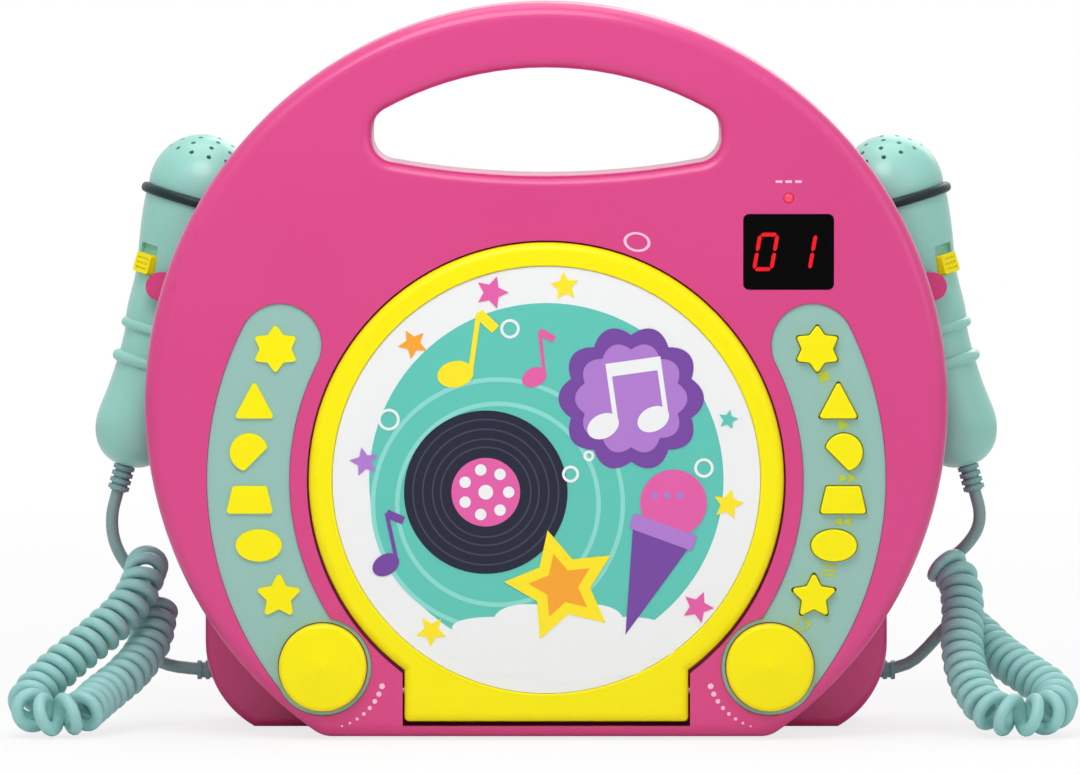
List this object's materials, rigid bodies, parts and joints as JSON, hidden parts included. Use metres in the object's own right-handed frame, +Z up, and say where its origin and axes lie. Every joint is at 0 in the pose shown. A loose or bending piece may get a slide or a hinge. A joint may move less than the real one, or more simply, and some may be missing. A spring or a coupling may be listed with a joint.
{
  "type": "karaoke machine",
  "caption": "Round upright disc player with a carrying handle, a hinged front lid, shaped keys, volume knobs, a digit display and handheld microphones on curly cords in side forks.",
  "frame": {"origin": "middle of the footprint, on the surface it stands on", "axes": "+X across the front to the right, -Y towards the person in front, +Z up"},
  "size_m": [0.3561, 0.1, 0.2436],
  "materials": {
    "pink_shell": "smooth satin gloss",
    "pink_inner": "matte, moulded",
    "mint_panel": "satin print on plastic",
    "yellow_key": "satin gloss",
    "lid_picture": "printed sheet, many colours, gloss",
    "mint_handle": "satin gloss",
    "mint_cord": "soft satin",
    "dark_ring": "soft satin",
    "black_rubber": "matte",
    "black_plastic": "matte",
    "white_plastic": "matte",
    "steel": "plated, satin",
    "dark_window": "dark tinted gloss",
    "red_digits": "lit",
    "red_lamp": "clear tinted",
    "circuit_board": "satin lacquer",
    "lens_glass": "clear, coated",
    "black_cone": "matte paper"
  },
  "bodies": {
    "housing": {"front_shell": "pink_shell", "mic_forks": "pink_shell", "rear_shell": "pink_shell", "disc_well": "pink_inner", "left_panel": "mint_panel", "right_panel": "mint_panel", "left_key_shapes": "yellow_key", "lid_hinge_pins": "steel", "lid_catch": "black_plastic", "rubber_feet": "black_rubber", "housing_screws": "steel", "battery_contacts": "steel", "display_window": "dark_window", "display_digits": "red_digits", "display_module": "circuit_board", "program_led": "red_lamp", "key_board": "circuit_board", "main_board": "circuit_board", "potentiometers": "steel", "drive_chassis": "black_plastic", "guide_rods": "steel", "drive_motors": "steel", "speaker_frame": "steel", "speaker_cone": "black_cone", "dc_jack": "black_plastic", "cord_glands": "mint_cord", "left_mic_lead": "mint_cord", "left_mic_curl": "mint_cord", "left_foot_lead": "mint_cord", "right_mic_lead": "mint_cord", "right_mic_curl": "mint_cord", "right_foot_lead": "mint_cord"},
    "battery_door": {"battery_door": "pink_shell"},
    "lid": {"lid_ring": "yellow_key", "lid_picture": "lid_picture"},
    "mic_volume_knob": {"mic_volume_knob": "yellow_key"},
    "volume_knob": {"volume_knob": "yellow_key"},
    "disc_hub": {"disc_hub": "black_plastic", "hub_balls": "steel"},
    "pickup": {"pickup_sled": "white_plastic", "pickup_lens": "lens_glass"},
    "sled_pinion": {"sled_pinion": "white_plastic"},
    "stop_key": {"stop_key": "yellow_key"},
    "play_key": {"play_key": "yellow_key"},
    "forward_key": {"forward_key": "yellow_key"},
    "back_key": {"back_key": "yellow_key"},
    "program_key": {"program_key": "yellow_key"},
    "repeat_key": {"repeat_key": "yellow_key"},
    "left_mic": {"left_mic_body": "mint_handle", "left_mic_head": "mint_handle", "left_mic_ring": "dark_ring", "left_mic_capsule": "black_plastic", "left_mic_boot": "mint_cord"},
    "left_mic_switch": {"left_mic_switch": "yellow_key"},
    "right_mic": {"right_mic_body": "mint_handle", "right_mic_head": "mint_handle", "right_mic_ring": "dark_ring", "right_mic_capsule": "black_plastic", "right_mic_boot": "mint_cord"},
    "right_mic_switch": {"right_mic_switch": "yellow_key"}
  },
  "joints": [
    {"name": "battery_door_slide", "type": "slide", "parent": "housing", "child": "battery_door", "axis": [0, 1, 0], "range_m": [0, 0.05]},
    {"name": "lid_hinge", "type": "hinge", "parent": "housing", "child": "lid", "pos_m": [0, -0.0385, 0.016], "axis": [1, 0, 0], "range_deg": [0, 45]},
    {"name": "mic_volume_turn", "type": "hinge", "parent": "housing", "child": "mic_volume_knob", "pos_m": [-0.0739, -0.044, 0.0241], "axis": [0, 1, 0], "range_deg": [0, 300]},
    {"name": "volume_turn", "type": "hinge", "parent": "housing", "child": "volume_knob", "pos_m": [0.0739, -0.044, 0.0241], "axis": [0, 1, 0], "range_deg": [0, 300]},
    {"name": "hub_spin", "type": "hinge", "parent": "housing", "child": "disc_hub", "pos_m": [0, -0.0345, 0.0861], "axis": [0, 1, 0], "continuous": true},
    {"name": "pickup_slide", "type": "slide", "parent": "housing", "child": "pickup", "axis": [1, 0, 0], "range_m": [0, 0.034]},
    {"name": "pinion_turn", "type": "hinge", "parent": "housing", "child": "sled_pinion", "pos_m": [0.045, -0.0185, 0.0611], "axis": [0, 1, 0], "range_deg": [0, 280]},
    {"name": "stop_key_press", "type": "slide", "parent": "housing", "child": "stop_key", "axis": [0, 1, 0], "range_m": [0, 0.0012], "stiffness_N_per_m": 200},
    {"name": "play_key_press", "type": "slide", "parent": "housing", "child": "play_key", "axis": [0, 1, 0], "range_m": [0, 0.0012], "stiffness_N_per_m": 200},
    {"name": "forward_key_press", "type": "slide", "parent": "housing", "child": "forward_key", "axis": [0, 1, 0], "range_m": [0, 0.0012], "stiffness_N_per_m": 200},
    {"name": "back_key_press", "type": "slide", "parent": "housing", "child": "back_key", "axis": [0, 1, 0], "range_m": [0, 0.0012], "stiffness_N_per_m": 200},
    {"name": "program_key_press", "type": "slide", "parent": "housing", "child": "program_key", "axis": [0, 1, 0], "range_m": [0, 0.0012], "stiffness_N_per_m": 200},
    {"name": "repeat_key_press", "type": "slide", "parent": "housing", "child": "repeat_key", "axis": [0, 1, 0], "range_m": [0, 0.0012], "stiffness_N_per_m": 200},
    {"name": "left_mic_slide", "type": "slide", "parent": "housing", "child": "left_mic", "axis": [-1, 0, 0], "range_m": [0, 0.06]},
    {"name": "left_mic_switch_slide", "type": "slide", "parent": "left_mic", "child": "left_mic_switch", "axis": [0.2672, 0, 0.9636], "range_m": [0, 0.003]},
    {"name": "right_mic_slide", "type": "slide", "parent": "housing", "child": "right_mic", "axis": [1, 0, 0], "range_m": [0, 0.06]},
    {"name": "right_mic_switch_slide", "type": "slide", "parent": "right_mic", "child": "right_mic_switch", "axis": [-0.2672, 0, 0.9636], "range_m": [0, 0.003]}
  ],
  "couplings": [
    {"joint": "pinion_turn", "follows": "pickup_slide", "rad_per_m": 142.86}
  ]
}
